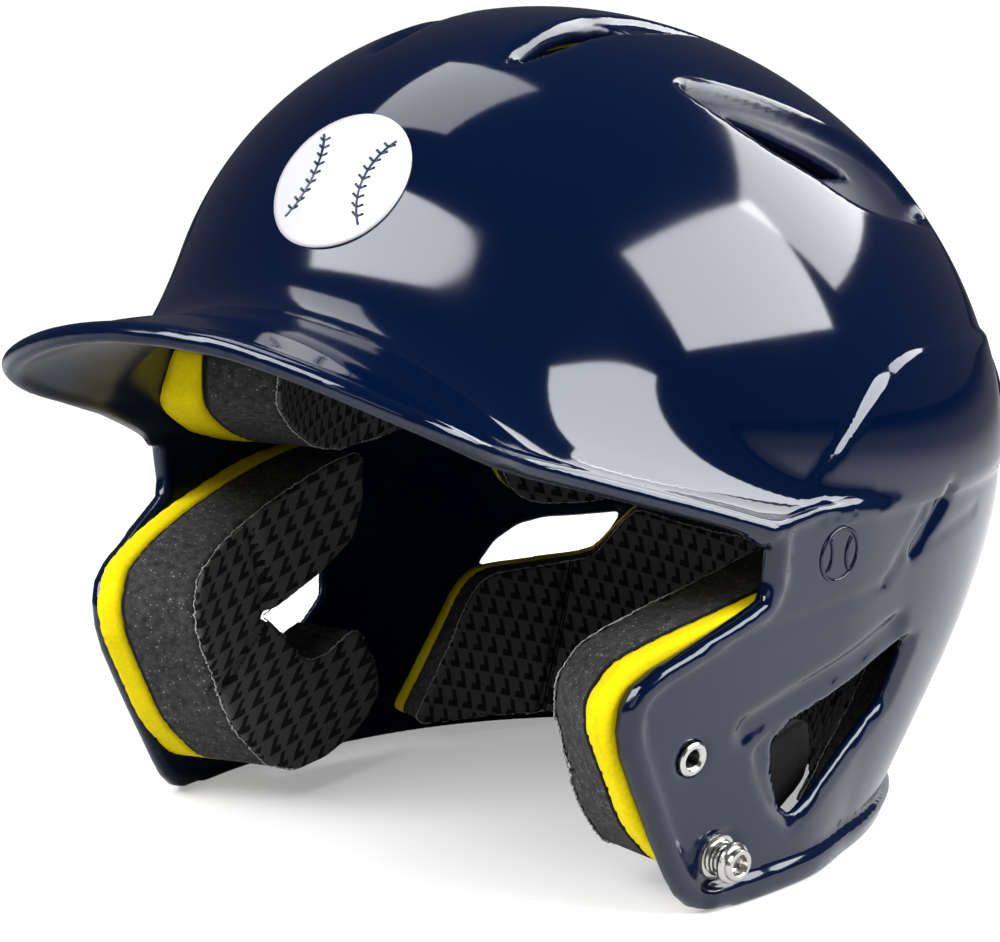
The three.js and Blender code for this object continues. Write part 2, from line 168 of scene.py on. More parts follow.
def flap_distance(x, y, z):
    """Distance to the fuller section that the flaps and the outer edge of the bill's root follow."""
    down = np.clip((WIDEST_LEVEL - z) / WIDEST_LEVEL, 0, 1.15)
    along = y - set_back(down)
    tuck = np.clip((FLAP_TUCK_LEVEL - z) / FLAP_TUCK_LEVEL, 0, 1.2)
    reach = np.where(along < 0, FLAP_REACH - FLAP_TUCK * tuck**2, back_reach(HALF_LENGTH, down))
    return oval_distance(x, along, np.zeros_like(x), side_reach(HALF_WIDTH, down), reach, down)


def bill_height(x, y):
    """Middle surface of the bill: an arch across, turned up towards its front."""
    return 131 + 11 * ease((-108 - y) / 40) - 0.004 * x * x


def body_distance(x, y, z):
    """Outside of the moulding without lips, steps, recesses or holes."""
    ax = np.abs(x)
    dome = dome_distance(ax, y, z)
    plate = (z - bill_height(ax, y) - WALL / 2) / np.sqrt(1 + (0.008 * ax) ** 2)
    spread = 60 * ease((-66 - y) / 20) * ease((z - 94) / 7)   # under the bill there's no wall
    lower = smax(plate, flap_distance(ax, y, z) - spread, 1.0)
    fillet = (6 + 28 * ease((100 - ax) / 45)) * ease((-2 - y) / 28) + 0.05
    return smin(dome, lower, fillet)


def curve_points(points, count):
    """Centripetal Catmull-Rom curve through the points, as evenly numbered samples."""
    pts = [Vector(p) for p in points]
    pts = [2 * pts[0] - pts[1], *pts, 2 * pts[-1] - pts[-2]]
    out = []
    spans = len(pts) - 3
    for n in range(count + 1):
        u = n / count * spans
        i = min(int(u), spans - 1)
        p = pts[i:i + 4]
        t = [0.0]
        for a, b in zip(p, p[1:]):
            t.append(t[-1] + max((b - a).length, 1e-6) ** 0.5)
        at = t[1] + (t[2] - t[1]) * (u - i)
        a1 = p[0].lerp(p[1], (at - t[0]) / (t[1] - t[0]))
        a2 = p[1].lerp(p[2], (at - t[1]) / (t[2] - t[1]))
        a3 = p[2].lerp(p[3], (at - t[2]) / (t[3] - t[2]))
        b1 = a1.lerp(a2, (at - t[0]) / (t[2] - t[0]))
        b2 = a2.lerp(a3, (at - t[1]) / (t[3] - t[1]))
        out.append(tuple(b1.lerp(b2, (at - t[1]) / (t[2] - t[1]))))
    return np.array(out)


def line_distance(p, line):
    """Distance from points to an open polyline, in as many dimensions as both have."""
    best = np.full(len(p), 1e9)
    for a, b in zip(line[:-1], line[1:]):
        d = b - a
        t = clamp01(((p - a) @ d) / max(d @ d, 1e-9))
        q = p - a - t[:, None] * d
        best = np.minimum(best, np.einsum("ij,ij->i", q, q))
    return np.sqrt(best)


def outline_distance(p, outline):
    """Signed distance from plane points to a closed outline, negative inside."""
    closed = np.vstack([outline, outline[:1]])
    inside = np.zeros(len(p), bool)
    for a, b in zip(closed[:-1], closed[1:]):
        crosses = (a[1] > p[:, 1]) != (b[1] > p[:, 1])
        rise = b[1] - a[1] if abs(b[1] - a[1]) > 1e-9 else 1e-9
        inside ^= crosses & (p[:, 0] < (b[0] - a[0]) * (p[:, 1] - a[1]) / rise + a[0])
    distance = line_distance(p, closed)
    return np.where(inside, -distance, distance)


class Facet:
    """Plane that touches the shell, with outlines drawn on it. Outline points may be 3-D."""

    def __init__(self, points, reach=12.0):
        points = np.asarray(points, float)
        self.centre = points.mean(0)
        g = gradient(lambda p: body_distance(*p.T), self.centre[None])[0]
        self.normal = g / np.linalg.norm(g)
        across = np.cross((0, 0, 1.0), self.normal)
        self.across = across / np.linalg.norm(across)
        self.up = np.cross(self.normal, self.across)
        self.reach = reach
        self.radius = np.linalg.norm(points - self.centre, axis=1).max() + 9

    def flat(self, p):
        q = p - self.centre
        return np.stack([q @ self.across, q @ self.up], -1)

    def near(self, p):
        q = p - self.centre
        level_with = np.abs(q @ self.normal) < self.reach * 2
        return (np.einsum("ij,ij->i", q, q) < (self.radius + 9) ** 2) & level_with


def gradient(f, p, h=0.25):
    out = np.empty_like(p)
    for axis in range(3):
        step = np.zeros(3)
        step[axis] = h
        out[:, axis] = (f(p + step) - f(p - step)) / (2 * h)
    return out


def rounded(outline, radius=1.2, count=4):
    """Outline with its corners cut back and rounded."""
    pts = [np.asarray(p, float) for p in outline]
    out = []
    for i, p in enumerate(pts):
        a, b = pts[i - 1] - p, pts[(i + 1) % len(pts)] - p
        la, lb = np.linalg.norm(a), np.linalg.norm(b)
        a, b = a / la * min(radius, la * 0.45), b / lb * min(radius, lb * 0.45)
        for n in range(count + 1):
            t = n / count
            out.append(p + a * (1 - t) ** 2 + b * t * t)
    return np.array(out)


# Front edge of a flap in side view (y, z), from the notch under the bill down to the lower rim.
FLAP_EDGE = np.array([
    [-60.4, 100], [-60, 92], [-59.4, 80.5], [-60.6, 76.8], [-66, 74.4], [-79, 69.3], [-90, 65], [-95.5, 61.5],
    [-98, 56.5], [-98, 50], [-96, 43.5], [-91.5, 35], [-84, 21.5], [-77.5, 10.5], [-74, 5.5], [-70, 2.2],
    [-65, 0.4], [-58, 0],
])

BILL_EDGE = curve_points([
    (97, -61, 94), (88, -77, 100), (79.5, -92.5, 105.4), (72, -108, 110.8), (68.5, -122, 115.3),
    (69, -134, 119.6), (65.5, -143.5, 124.6), (56, -151.5, 130), (38, -158.5, 136.6), (18, -161, 140.6),
    (0, -161.3, 141.4)], 60)

# The rim runs on as a ridge along the top of the flap and dies out above the ear.
RIDGE = np.vstack([BILL_EDGE[:1] + (0, -0.5, 0), on_surface([75, 80, 85, 91], [95.9, 95.4, 94.4, 93], 0.1)])
RIM_RADIUS = 2.4

# Lower end of the raised panel over the ear, and the upper crease that sweeps up and back from the ridge.
STEP_LEVEL = 92.2
CREASE = curve_points([
    (0, -50, 96), (0, -42.5, 103.5), (0, -34, 110.5), (0, -27, 117.5), (0, -18.6, 124), (0, -6.7, 128.2),
    (0, 12, 129), (0, 53.7, 125), (0, 90, 122), (0, 125, 121)], 60)[:, 1:]
PANEL_PROUD = 1.1
CREASE_WIDTH = 2.6

GROOVE = on_surface([88.4, 94.4], [80.2, 92.6])
PART_LINES = [
    on_surface([59.6, 66, 71.9, 81.4, 85], [68, 68.2, 68.8, 72.1, 74.3]),
    on_surface([85, 87.5, 89.8], [74.3, 84, 91.5]),
    on_surface([89.5, 97, 104], [80.5, 83.4, 85.2]),
]
CHANNEL = on_surface([73.5, 78, 83, 88.5], [44.5, 49.5, 54.5, 60.5])

EAR_VENT = rounded(on_surface(*np.array([
    (77.8, 38.3), (79, 43), (85.3, 48.8), (91.5, 55.2), (93.1, 54.3), (93.5, 39.2), (88.2, 28), (84.7, 17.6),
    (82, 21.9), (79.6, 30)]).T), 2.0)
EAR_BEVEL = rounded(on_surface(*np.array([
    (75.1, 38.6), (77.2, 44.2), (84.6, 50.6), (91.7, 57.6), (94.6, 55.6), (94.9, 39), (89.4, 26.8),
    (84.7, 14.6), (80.9, 21), (77.6, 30)]).T), 3.0)
REAR_VENT = rounded(on_surface(*np.array([
    (123.8, 40.1), (126.4, 46.5), (130.1, 50.6), (134.3, 52.2), (143.6, 53), (146.9, 53.6), (143, 41),
    (134.4, 40.2)]).T), 2.0)
SIDE_SCOOP = rounded([
    (49.4, -34.5, 193.4), (60.6, -30.4, 185.6), (70, -23.5, 177.6), (75.4, -14.5, 172), (80.9, -5.1, 165.3),
    (83, 8, 160.5), (80.5, 27, 157), (75, 43, 153.5), (69.6, 49.3, 155.5), (64.6, 34.4, 170.3),
    (65.5, 11.9, 178.7), (62.4, -3.5, 184.4), (56.3, -20.3, 189.9)], 6.0)
SIDE_VENT = rounded([
    (60, -25.5, 187.3), (68.5, -22.8, 179.6), (75.8, -12.4, 172.2), (75.2, 8.1, 170.4),
    (67.8, -11, 180.8)], 2.5)
CROWN_SCOOP = rounded([
    (19.2, -63.2, 198.2), (22.1, -62, 198), (25.6, -52, 200.3), (26.8, -36.5, 203.2), (29.8, -16.5, 203.2),
    (28.6, 13, 199.3), (25, 13, 199.8), (19.6, -8, 205), (16.2, -26.6, 206), (17.4, -43.7, 203.8),
    (17, -53.7, 201.4)], 4.0)
CROWN_SLOT = rounded([
    (19.9, -57.5, 200), (22.6, -56.5, 199.6), (24, -45, 202), (25.2, -30, 203.6), (26.4, -19, 203.6),
    (20.2, -20.5, 205.4), (18.4, -33, 205.4), (18.6, -46, 203)], 1.6)

INSERT_AT = on_surface(68.3, 40.5)
STUD_AT = on_surface(76.2, 13)
HOLLOW_REACH = 24.0

ear_vent = Facet(EAR_VENT)
ear_bevel = Facet(EAR_BEVEL)
rear_vent = Facet(REAR_VENT)
side_scoop = Facet(SIDE_SCOOP, HOLLOW_REACH)
side_vent = Facet(SIDE_VENT, HOLLOW_REACH)
crown_scoop = Facet(CROWN_SCOOP, HOLLOW_REACH)
crown_slot = Facet(CROWN_SLOT)

KEPT_BELOW = np.vstack([FLAP_EDGE, [(-58, -40), (400, -40), (400, 400), (-60.4, 400)]])
KEPT_ABOVE = np.vstack([BILL_EDGE[:, :2], [(-40, -161.3), (-40, 200), (400, 200), (400, -61)]])


def facet_mask(facet, outline, p, soft, value):
    """value times a mask that is 1 well inside the outline and 0 outside it, over a band `soft` wide."""
    out = np.zeros(len(p))
    near = facet.near(p)
    if near.any():
        d = outline_distance(facet.flat(p[near]), facet.flat(outline))
        out[near] = value * ease(0.5 - d / soft)
    return out


def tube_distance(p, line, start, end):
    """Distance to a round tube that tapers from one radius to another along a polyline."""
    lengths = np.linalg.norm(np.diff(line, axis=0), axis=1)
    total, run = lengths.sum(), 0.0
    best = np.full(len(p), 1e9)
    for a, b, length in zip(line[:-1], line[1:], lengths):
        d = b - a
        t = clamp01(((p - a) @ d) / max(d @ d, 1e-9))
        q = p - a - t[:, None] * d
        radius = start + (end - start) * (run + t * length) / total
        best = np.minimum(best, np.sqrt(np.einsum("ij,ij->i", q, q)) - radius)
        run += length
    return best


def where_near(p, line, margin, f, far=1e9):
    """f(p) close to a line's own box, and `far` elsewhere."""
    low, high = line.min(0) - margin, line.max(0) + margin
    near = ((p > low) & (p < high)).all(1)
    out = np.full(len(p), far)
    if near.any():
        out[near] = f(p[near])
    return out


def line_dent(p, line, width, depth):
    d = where_near(p, line, width + 1, lambda q: line_distance(q, line))
    return depth * ease(1.5 - d / (width * 0.5))


def raised_by(p):
    """How far lips, the panel over the ear, grooves and part lines stand out from the plain moulding."""
    x, y, z = p.T
    side = p[:, 1:]
    lip = LIP_PROUD * ease((LIP_TOP - z) / 1.6) * ease((y + 70) / 6)
    edge = np.zeros(len(p))
    near = (y < -40) & (y > -115) & (z < 100) & (z > -8) & (x > 40)
    if near.any():
        away = line_distance(side[near], FLAP_EDGE[1:])
        edge[near] = EDGE_PROUD * ease((EDGE_WIDTH - away) / 2.2)
    lip = np.maximum(lip, edge)
    crease = np.interp(y, CREASE[:, 0], CREASE[:, 1])
    panel = (PANEL_PROUD * ease((crease - z) / CREASE_WIDTH + 0.5) * ease((z - STEP_LEVEL) / 1.0 + 0.5)
             * ease((y + 47) / 12))
    out = lip + panel
    out -= line_dent(p, GROOVE, 4.2, GROOVE_DEPTH)
    for line in PART_LINES:
        out -= line_dent(p, line, 3.0, PART_LINE_DEPTH)
    channel = where_near(p, CHANNEL, 9, lambda q: line_distance(q, CHANNEL))
    out -= CHANNEL_DEPTH * ease(1.15 - channel / 5)
    out -= facet_mask(ear_bevel, EAR_BEVEL, p, 2.2, BEVEL_DEPTH)
    for place, radius, depth in ((INSERT_AT, 4.6, 1.0), (STUD_AT, 6.9, 1.1)):
        away = np.linalg.norm(p - place, axis=1)
        out -= depth * ease((radius + 0.6 - away) / 1.2)
    return out


def shell_field(points):
    """Signed distance to the moulded shell. Away from the wall only its sign and rough size are right."""
    p = points * (1, 1, 1)
    p[:, 0] = np.abs(p[:, 0])
    form = body_distance(*p.T)
    out = np.maximum(form, -form - WALL)
    near = np.abs(form + WALL / 2) < 7.5
    if near.any():
        out[near] = wall_field(p[near], form[near])
    return out


def wall_field(p, form):
    """The wall with its details, for points near it on the +x side. `form` is their body_distance."""
    x, y, z = p.T
    form += facet_mask(side_scoop, SIDE_SCOOP, p, 4.5, SIDE_SCOOP_DEPTH)
    form += facet_mask(crown_scoop, CROWN_SCOOP, p, 3.0, CROWN_SCOOP_DEPTH)
    out = smax(form - raised_by(p), -(form + WALL), 1.2)
    below = outline_distance(p[:, 1:], KEPT_BELOW)
    under = 90 + (bill_height(x, y) - 94.5) * ease((-60 - y) / 7)
    above = np.maximum(outline_distance(p[:, :2], KEPT_ABOVE), under - z)
    out = smax(out, np.minimum(below, above), 2.6)
    rim = where_near(p, BILL_EDGE, 9, lambda q: tube_distance(q, BILL_EDGE, RIM_RADIUS, RIM_RADIUS))
    ridge = where_near(p, RIDGE, 9, lambda q: tube_distance(q, RIDGE, 2.0, 0.7))
    out = smin(smin(out, rim, 1.6), ridge, 0.7)
    for facet, outline in ((ear_vent, EAR_VENT), (rear_vent, REAR_VENT), (side_vent, SIDE_VENT),
                           (crown_slot, CROWN_SLOT)):
        near = facet.near(p)
        if near.any():
            hole = outline_distance(facet.flat(p[near]), facet.flat(outline))
            out[near] = smax(out[near], -hole, 1.4)
    for place, radius in ((INSERT_AT, 3.4), (STUD_AT, 2.6)):
        out = np.maximum(out, radius - np.linalg.norm(p - place, axis=1))
    return smax(out, -z, 1.6)


# ---- meshing

def sampled(field, low, high, cell, margin, mirrored):
    """Field values on a grid, exact near the surface. A mirrored grid starts at x = 0."""
    block = 4
    counts = [int(math.ceil((h - l) / cell / block)) * block for l, h in zip(low, high)]
    axes = [l + cell * np.arange(n + 1) for l, n in zip(low, counts)]
    centres = [l + cell * (np.arange(n // block) * block + block / 2) for l, n in zip(low, counts)]
    grid = np.stack(np.meshgrid(*centres, indexing="ij"), -1).reshape(-1, 3)
    coarse = field(grid)
    reach = cell * block * 0.87 + margin
    values = np.repeat(np.repeat(np.repeat(
        coarse.reshape([len(c) for c in centres]), block, 0), block, 1), block, 2)
    values = np.pad(values, ((0, 1), (0, 1), (0, 1)), mode="edge").astype(np.float32)
    local = np.stack(np.meshgrid(*[np.arange(block + 1)] * 3, indexing="ij"), -1).reshape(-1, 3)
    corner = np.meshgrid(*[np.arange(len(c)) * block for c in centres], indexing="ij")
    corner = np.stack(corner, -1).reshape(-1, 3)
    active = corner[np.abs(coarse) < reach]
    for start in range(0, len(active), 3000):
        index = (active[start:start + 3000, None, :] + local[None]).reshape(-1, 3)
        p = np.stack([axes[k][index[:, k]] for k in range(3)], -1)
        values[index[:, 0], index[:, 1], index[:, 2]] = field(p)
    if mirrored:
        values = np.concatenate([values[:0:-1], values], 0)
        axes[0] = np.concatenate([-axes[0][:0:-1], axes[0]])
    return values, axes


def surface_net(field, low, high, cell, margin=4.0, mirrored=False, steps=4):
    """Closed quad mesh of field = 0: vertices and faces."""
    values, axes = sampled(field, low, high, cell, margin, mirrored)
    inside = values < 0
    n = [s - 1 for s in inside.shape]
    count = np.zeros(n, np.int8)
    for i in (0, 1):
        for j in (0, 1):
            for k in (0, 1):
                count += inside[i:i + n[0], j:j + n[1], k:k + n[2]]
    cells = np.argwhere((count > 0) & (count < 8))
    number = np.full(n, -1, np.int32)
    number[cells[:, 0], cells[:, 1], cells[:, 2]] = np.arange(len(cells))
    total = np.zeros((len(cells), 3))
    hits = np.zeros(len(cells))
    corners = [(i, j, k) for i in (0, 1) for j in (0, 1) for k in (0, 1)]
    at = {c: values[cells[:, 0] + c[0], cells[:, 1] + c[1], cells[:, 2] + c[2]].astype(float)
          for c in corners}
    for a in corners:
        for axis in range(3):
            if a[axis]:
                continue
            b = tuple(1 if m == axis else a[m] for m in range(3))
            cut = (at[a] < 0) != (at[b] < 0)
            t = np.where(cut, at[a] / np.where(cut, at[a] - at[b], 1), 0)
            place = np.array(a, float)[None] + t[:, None] * np.eye(3)[axis][None]
            total += place * cut[:, None]
            hits += cut
    origin = np.array([a[0] for a in axes])
    p = origin + cell * (cells + total / hits[:, None])
    faces = []
    for axis in range(3):
        u, v = (axis + 1) % 3, (axis + 2) % 3
        first = [slice(None)] * 3
        second = [slice(None)] * 3
        first[axis], second[axis] = slice(0, -1), slice(1, None)
        change = inside[tuple(first)] != inside[tuple(second)]
        edges = np.argwhere(change)
        edges = edges[(edges[:, u] > 0) & (edges[:, v] > 0) & (edges[:, u] < n[u]) & (edges[:, v] < n[v])]
        quads = []
        for du, dv in ((1, 1), (0, 1), (0, 0), (1, 0)):
            c = edges.copy()
            c[:, u] -= du
            c[:, v] -= dv
            quads.append(number[c[:, 0], c[:, 1], c[:, 2]])
        quads = np.stack(quads, -1)
        out = inside[edges[:, 0], edges[:, 1], edges[:, 2]]
        quads[~out] = quads[~out][:, ::-1]
        faces.append(quads)
    faces = np.vstack(faces)
    start = p.copy()
    for step in range(steps):
        f = field(p)
        if step < 2:
            g = gradient(field, p)
        move = -f[:, None] * g / np.maximum(np.einsum("ij,ij->i", g, g), 0.05)[:, None]
        size = np.linalg.norm(move, axis=1)
        move *= np.minimum(1, 0.5 * cell / np.maximum(size, 1e-9))[:, None]
        p = p + move
    drift = p - start
    size = np.linalg.norm(drift, axis=1)
    p = start + drift * np.minimum(1, 0.9 * cell / np.maximum(size, 1e-9))[:, None]
    return p, faces


def outward(points, faces, centre=0.0):
    """The faces of a closed mesh, turned over if they face inwards."""
    a, b, c = (points[faces[:, k]] - centre for k in range(3))
    volume = np.einsum("ij,ij->i", a, np.cross(b - a, c - a)).sum()
    return faces[:, ::-1] if volume < 0 else faces


def add_mesh(name, points, faces, material, slot, normals=None):
    """A piece from millimetre points in the helmet's own axes, riding on the helmet."""
    mesh = bpy.data.meshes.new(name)
    mesh.from_pydata([], [], [])
    mesh.vertices.add(len(points))
    mesh.vertices.foreach_set("co", (np.asarray(points) * MM + np.array(SHIFT)).astype(np.float32).ravel())
    faces = np.asarray(faces)
    sides = faces.shape[1]
    mesh.loops.add(faces.size)
    mesh.loops.foreach_set("vertex_index", faces.astype(np.int32).ravel())
    mesh.polygons.add(len(faces))
    mesh.polygons.foreach_set("loop_start", (np.arange(len(faces)) * sides).astype(np.int32))
    mesh.update(calc_edges=True)
    mesh.validate()
    mesh.shade_smooth()
    if normals is not None:
        mesh.normals_split_custom_set_from_vertices(normals)
    mesh.materials.append(material)
    piece = bpy.data.objects.new(name, mesh)
    bpy.context.scene.collection.objects.link(piece)
    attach(piece, "root")
    return piece


def mark_matt_and_dark(piece, amount):
    """Per-point amount read by the materials: a less glossy inside of the shell and its side scoops, a darker
    glued face on the grey foam, and painted shade in the bores of the hardware.
    """
    layer = piece.data.attributes.new("matt_and_dark", "FLOAT", "POINT")
    layer.data.foreach_set("value", np.asarray(amount, np.float32))


# ---- materials

def principled(name, colour, roughness, **sockets):
    material = bpy.data.materials.new(name)
    material.use_nodes = True
    node = material.node_tree.nodes["Principled BSDF"]
    node.inputs["Base Color"].default_value = (*colour, 1)
    node.inputs["Roughness"].default_value = roughness
    for key, value in sockets.items():
        node.inputs[key.replace("_", " ")].default_value = value
    return material, node


class Graph:
    """Short names for building a material's node tree."""

    def __init__(self, material):
        self.tree = material.node_tree
        self.shader = self.tree.nodes["Principled BSDF"]

    def node(self, kind, **settings):
        made = self.tree.nodes.new(kind)
        for key, value in settings.items():
            setattr(made, key, value)
        return made

    def link(self, output, socket):
        self.tree.links.new(output, socket)

    def math(self, operation, a, b=None, c=None):
        made = self.node("ShaderNodeMath", operation=operation)
        for slot, value in zip(made.inputs, (a, b, c)):
            if value is None:
                continue
            if isinstance(value, (int, float)):
                slot.default_value = value
            else:
                self.link(value, slot)
        return made.outputs[0]

    def noise(self, vector, scale, detail=2.0, roughness=0.5):
        made = self.node("ShaderNodeTexNoise")
        made.inputs["Scale"].default_value = scale
        made.inputs["Detail"].default_value = detail
        made.inputs["Roughness"].default_value = roughness
        if vector is not None:
            self.link(vector, made.inputs["Vector"])
        return made.outputs["Fac"]

    def voronoi(self, vector, scale, output="Distance"):
        made = self.node("ShaderNodeTexVoronoi")
        made.inputs["Scale"].default_value = scale
        if vector is not None:
            self.link(vector, made.inputs["Vector"])
        return made.outputs[output]

    def ramp(self, value, *stops):
        made = self.node("ShaderNodeValToRGB")
        elements = made.color_ramp.elements
        while len(elements) < len(stops):
            elements.new(0.5)
        for element, (at, colour) in zip(elements, stops):
            element.position = at
            element.color = (*colour, 1) if len(colour) == 3 else colour
        self.link(value, made.inputs[0])
        return made.outputs["Color"]

    def bump(self, height, strength, distance, below=None):
        made = self.node("ShaderNodeBump")
        made.inputs["Strength"].default_value = strength
        made.inputs["Distance"].default_value = distance
        self.link(height, made.inputs["Height"])
        if below is not None:
            self.link(below, made.inputs["Normal"])
        return made.outputs["Normal"]

    def place(self):
        return self.node("ShaderNodeNewGeometry").outputs["Position"]


shell_paint, _ = principled("gloss_navy", (0.0001, 0.0030, 0.0165), 0.09, IOR=1.52,
                            Specular_Tint=(0.87, 0.94, 1.0, 1))
g = Graph(shell_paint)
where = g.place()
smudge = g.ramp(g.noise(where, 14, 3), (0.35, (0.05,) * 3), (0.75, (0.13,) * 3))
matt_and_dark = g.node("ShaderNodeAttribute", attribute_name="matt_and_dark").outputs["Fac"]
g.link(g.math("ADD", smudge, g.math("MULTIPLY", matt_and_dark, 0.26)), g.shader.inputs["Roughness"])
g.link(g.math("SUBTRACT", 0.5, g.math("MULTIPLY", matt_and_dark, 0.34)), g.shader.inputs["Specular IOR Level"])
g.link(g.bump(g.noise(where, 26, 1), 0.10, 0.0006, None), g.shader.inputs["Normal"])

base_paint, _ = principled("yellow_foam", (0.66, 0.52, 0.0), 0.85, Specular_IOR_Level=0.15)
g = Graph(base_paint)
where = g.place()
g.link(g.ramp(g.noise(where, 900, 2), (0.3, (0.70, 0.56, 0.0)), (0.7, (0.78, 0.63, 0.0))),
       g.shader.inputs["Base Color"])
g.link(g.bump(g.noise(where, 1600, 2), 0.25, 0.0003), g.shader.inputs["Normal"])

foam_paint, _ = principled("grey_foam", (0.05, 0.05, 0.053), 0.95, Specular_IOR_Level=0.3)
g = Graph(foam_paint)
where = g.place()
specks = g.voronoi(where, 900)
dark = g.noise(where, 500, 3, 0.7)
mixed = g.math("ADD", g.math("MULTIPLY", dark, 0.8),
               g.math("MULTIPLY", g.math("LESS_THAN", specks, 0.16), 0.35))
glued_face = g.node("ShaderNodeAttribute", attribute_name="matt_and_dark").outputs["Fac"]
g.link(g.ramp(g.math("SUBTRACT", mixed, glued_face), (0.0, (0.002, 0.002, 0.003)),
              (0.25, (0.012, 0.012, 0.013)), (0.5, (0.046, 0.046, 0.048)), (0.72, (0.11, 0.11, 0.112)),
              (0.85, (0.34, 0.34, 0.35))), g.shader.inputs["Base Color"])
g.link(g.bump(dark, 0.6, 0.0006), g.shader.inputs["Normal"])

fabric_paint, _ = principled("black_knit", (0.012, 0.012, 0.013), 0.9, Specular_IOR_Level=0.25)
g = Graph(fabric_paint)
uv = g.node("ShaderNodeUVMap", uv_map="flat").outputs["UV"]
split = g.node("ShaderNodeSeparateXYZ")
g.link(uv, split.inputs[0])
TICK_ROW, TICK_STEP = 0.048, 0.058      # in hundredths of a metre
slanted = g.math("ADD", split.outputs[1], g.math("MULTIPLY", split.outputs[0], -0.18))
row = g.math("DIVIDE", slanted, TICK_ROW)
row_index = g.math("FLOOR", row)
across = g.math("FRACT", row)
along = g.math("FRACT", g.math("ADD", g.math("DIVIDE", split.outputs[0], TICK_STEP),
                               g.math("MULTIPLY", row_index, 0.31)))
lean = g.math("SUBTRACT", along, g.math("MULTIPLY", across, 0.45))
bar = g.math("MULTIPLY", g.math("COMPARE", lean, 0.20, 0.14), g.math("COMPARE", across, 0.5, 0.42))
foot = g.math("MULTIPLY", g.math("COMPARE", along, 0.50, 0.30), g.math("COMPARE", across, 0.24, 0.16))
tick = g.math("MAXIMUM", bar, foot)
weave = g.noise(g.place(), 1500, 2)
g.link(g.ramp(g.math("ADD", g.math("MULTIPLY", tick, 0.55), g.math("MULTIPLY", weave, 0.45)),
              (0.12, (0.054, 0.054, 0.055)), (0.42, (0.092, 0.090, 0.088)), (0.60, (0.003, 0.003, 0.003)),
              (0.95, (0.006, 0.006, 0.006))), g.shader.inputs["Base Color"])
g.link(g.bump(weave, 0.35, 0.0004, g.bump(tick, 0.7, 0.0007)), g.shader.inputs["Normal"])

thread_paint, _ = principled("cut_thread", (0.34, 0.34, 0.35), 0.9)
metal_paint, _ = principled("nickel", (0.50, 0.49, 0.46), 0.20, Metallic=1.0)
g = Graph(metal_paint)
# Painted shade: where the amount is 1, inside the threaded bore, the metal's colour is painted near black in
# place of the shade there.
bore = g.node("ShaderNodeAttribute", attribute_name="matt_and_dark").outputs["Fac"]
g.link(g.ramp(bore, (0.1, (0.50, 0.49, 0.46)), (0.9, (0.022, 0.021, 0.020))), g.shader.inputs["Base Color"])
g.link(g.math("ADD", 0.14, g.math("MULTIPLY", g.noise(g.place(), 900, 2), 0.16)),
       g.shader.inputs["Roughness"])
emblem_paint, _ = principled("emblem_white", (0.47, 0.47, 0.50), 0.22, IOR=1.5)
stitch_paint, _ = principled("emblem_line", (0.002, 0.010, 0.035), 0.2)


low, high = (-110, -168, -3), (110, 122, 212)
points, faces = surface_net(shell_field, (0, low[1], low[2]), high, CELL, mirrored=True)
normals = gradient(shell_field, points, 0.3)
normals /= np.maximum(np.linalg.norm(normals, axis=1), 1e-9)[:, None]
for _ in range(3):
    around = normals[faces].sum(1)
    for k in range(3):
        normals[:, k] += np.bincount(faces.ravel(), np.repeat(around[:, k], 4), len(points))
    normals /= np.maximum(np.linalg.norm(normals, axis=1), 1e-9)[:, None]
shell = add_mesh("moulded_shell", points, faces, shell_paint, "shell", normals)
folded = points * (1, 1, 1)
folded[:, 0] = np.abs(folded[:, 0])
inner = ease((-1.6 - body_distance(*folded.T)) / 1.6)
scooped = facet_mask(side_scoop, SIDE_SCOOP, folded, 5.0, 1.0)
mark_matt_and_dark(shell, np.clip(np.maximum(inner, scooped), 0, 1))
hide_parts("shell")



# ---- pads

PER_DEGREE = 1.75          # millimetres along the wall for each degree, for drawing outlines flat
GLUE_DEPTH = 4.0           # where a pad's base meets the inside of the shell
THICK = (6.2, 18.8, 1.3)   # base foam, comfort foam, liner
THIN = (5.0, 8.6, 1.3)
GAP = 0.02                 # between glued layers

# Outlines as stations: pairs of (degrees, level) across the pad.
EAR_PAD = [
    [(88, 83), (87.5, 71)], [(83, 81.5), (85.5, 61)], [(77, 78.5), (80, 54.5)], [(70, 74.5), (74, 50.5)],
    [(63, 70), (71, 49)], [(58, 65.5), (70.5, 48.5)], [(56.4, 57.5), (70.5, 48)],
    [(57.6, 49.5), (70.8, 47.5)], [(60.4, 41), (71.5, 46.8)], [(63.6, 32), (73.5, 43)],
    [(67.3, 22), (76, 38)], [(71.5, 12), (78.5, 33.5)], [(77, 7.5), (81, 33)], [(83, 8), (83.5, 35)],
    [(88.3, 11.5), (86, 37.5)], [(92, 20), (87, 36)]]
SIDE_PAD = [
    [(50, 107), (50, 120)], [(53.5, 102), (53.5, 124)], [(59, 97), (59, 128)], [(65, 92), (65, 130)],
    [(72, 87.5), (72, 131.5)], [(80, 85.2), (80, 132)], [(89, 85.5), (89, 132)], [(97, 86.5), (97, 132)],
    [(105, 88.5), (105, 131)], [(111, 93), (111, 127)], [(113, 98), (113, 120)]]
NAPE_HALF = [
    [(111.5, 7), (112, 10)], [(114.5, 5.5), (115, 22)], [(118.5, 5.5), (119, 37)],
    [(121.5, 5.5), (122, 41.5)], [(128, 5.5), (128, 42.5)], [(136, 5.5), (136, 43.5)],
    [(143, 5.5), (143, 45)], [(146.5, 5.5), (146.5, 52)],
    [(150, 5.5), (150, 58)], [(158, 5.5), (158, 55)], [(168, 5.5), (168, 52.5)], [(180, 5.5), (180, 52)]]
REAR_HALF = [
    [(124, 68), (124, 92)], [(127, 62), (127, 98)], [(132, 60), (132, 101)], [(141, 60), (141, 103)],
    [(147, 61.5), (147, 104)], [(153, 62.5), (153, 104)], [(162, 62.5), (162, 104)],
    [(171, 62.5), (171, 104)], [(180, 62.5), (180, 104)]]
